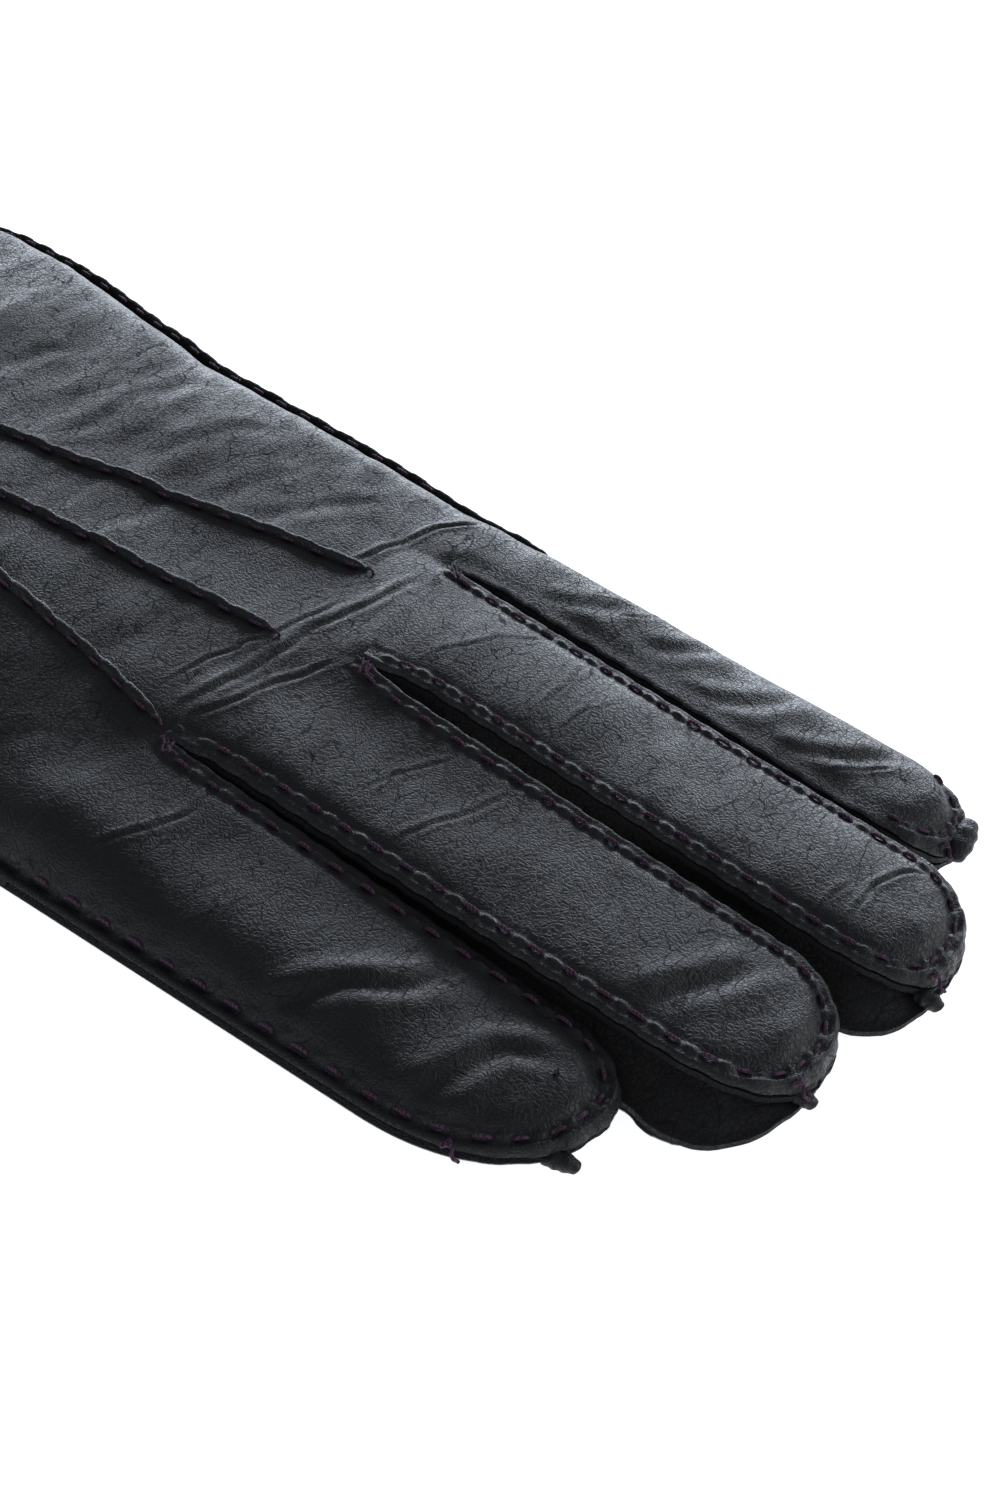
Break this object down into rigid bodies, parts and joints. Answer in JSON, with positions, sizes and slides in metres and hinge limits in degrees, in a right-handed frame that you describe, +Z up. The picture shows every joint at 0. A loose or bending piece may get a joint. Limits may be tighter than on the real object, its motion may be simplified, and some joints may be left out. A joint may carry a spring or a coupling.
{
  "type": "leather dress glove",
  "caption": "Right-hand leather dress glove lying palm down, with standing hand-sewn seams, raised lines on the back, a knitted lining and fingers that bend.",
  "frame": {"origin": "on the surface the glove rests on, under the middle of its bounding box", "axes": "+X from the cuff towards the fingertips, +Y towards the thumb side, +Z up from the palm to the back of the hand"},
  "size_m": [0.2439, 0.1179, 0.0187],
  "materials": {
    "leather": "soft semi-matt black glove leather with fine grain",
    "fork_leather": "matt black glove leather, cut edges showing",
    "lining": "fine knit",
    "thread": "twisted purple thread"
  },
  "bodies": {
    "hand": {"hand_back": "leather", "hand_palm": "leather", "thumb_hole_welt": "leather", "hand_lining": "lining", "cuff_facing": "leather", "back_points": "leather", "points_thread": "thread", "side_seam_thread": "thread", "hem_thread": "thread"},
    "index_finger": {"index_trank": "leather", "index_fork": "fork_leather", "index_lining": "lining", "index_thread": "thread"},
    "middle_finger": {"middle_back": "leather", "middle_palm": "leather", "middle_fork_index_side": "fork_leather", "middle_fork_ring_side": "fork_leather", "middle_lining": "lining", "middle_thread": "thread"},
    "ring_finger": {"ring_back": "leather", "ring_palm": "leather", "ring_fork_middle_side": "fork_leather", "ring_fork_little_side": "fork_leather", "ring_lining": "lining", "ring_thread": "thread"},
    "little_finger": {"little_back": "leather", "little_palm": "leather", "little_fork": "fork_leather", "little_lining": "lining", "little_thread": "thread"},
    "thumb": {"thumb_leather": "leather", "thumb_lining": "lining", "thumb_thread": "thread"}
  },
  "joints": [
    {"name": "index_bend", "type": "hinge", "parent": "hand", "child": "index_finger", "pos_m": [0.033, 0.0352, 0.0025], "axis": [0.0175, 0.9998, 0], "range_deg": [-20, 80]},
    {"name": "middle_bend", "type": "hinge", "parent": "hand", "child": "middle_finger", "pos_m": [0.038, 0.0121, 0.0025], "axis": [0.0436, 0.999, 0], "range_deg": [-20, 80]},
    {"name": "ring_bend", "type": "hinge", "parent": "hand", "child": "ring_finger", "pos_m": [0.038, -0.0161, 0.0025], "axis": [0.0523, 0.9986, 0], "range_deg": [-20, 80]},
    {"name": "little_bend", "type": "hinge", "parent": "hand", "child": "little_finger", "pos_m": [0.027, -0.0431, 0.0025], "axis": [0.0436, 0.999, 0], "range_deg": [-20, 80]},
    {"name": "thumb_swing", "type": "hinge", "parent": "hand", "child": "thumb", "pos_m": [-0.059, 0.0389, 0.004], "axis": [0, 0, 1], "range_deg": [0, 60]}
  ]
}
